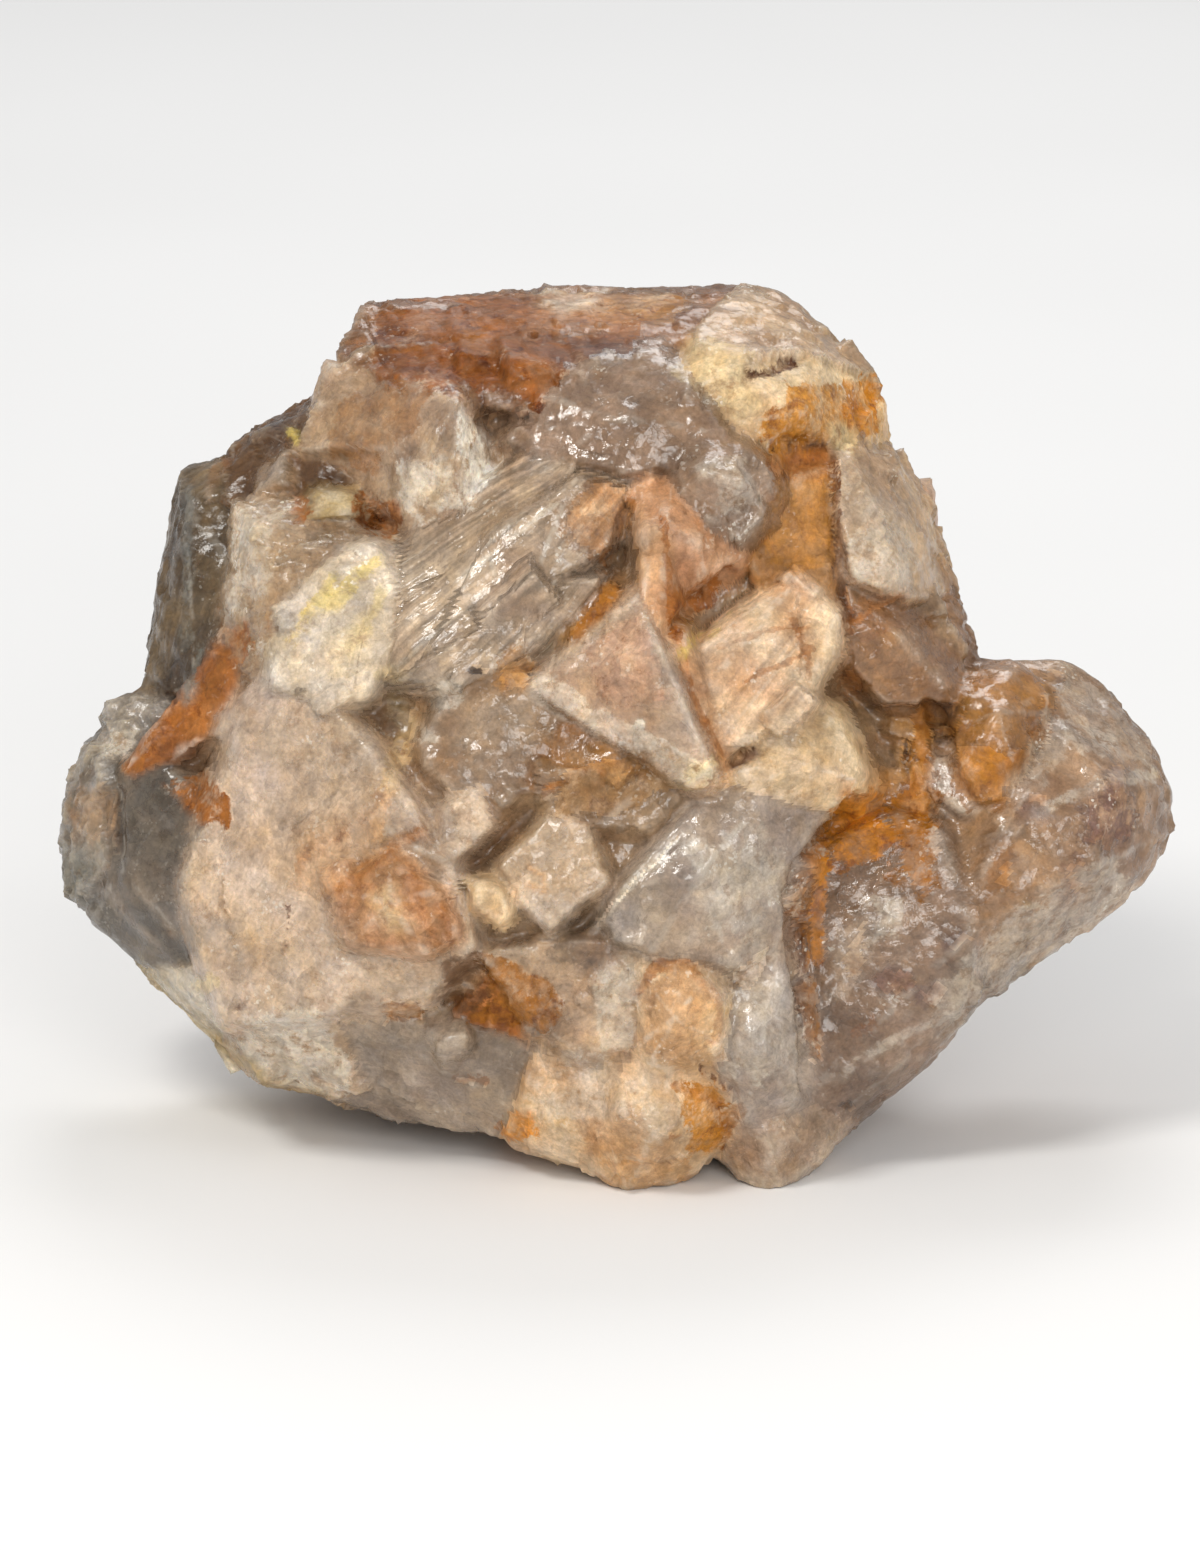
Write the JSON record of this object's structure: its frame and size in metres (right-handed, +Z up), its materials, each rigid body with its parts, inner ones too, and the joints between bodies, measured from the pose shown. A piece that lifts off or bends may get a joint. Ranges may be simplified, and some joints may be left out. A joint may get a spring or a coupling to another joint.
{
  "type": "window quartz crystal cluster",
  "caption": "Clouded, iron-stained window quartz cluster: blocky flat-faced crystals grown together in one stone that rests on a worn flat underside",
  "frame": {"origin": "under the middle of the stone's box, on the ground it rests on", "axes": "+X is the viewer's right along the stone's length, +Y runs from the front face to the rear, +Z is up"},
  "size_m": [0.0936, 0.0644, 0.0689],
  "materials": {
    "quartz": "glassy broken and grown faces, part clear and smoky, part milky, with rust, ochre and lemon iron stain"
  },
  "bodies": {
    "root": {"quartz_cluster": "quartz"}
  },
  "joints": []
}
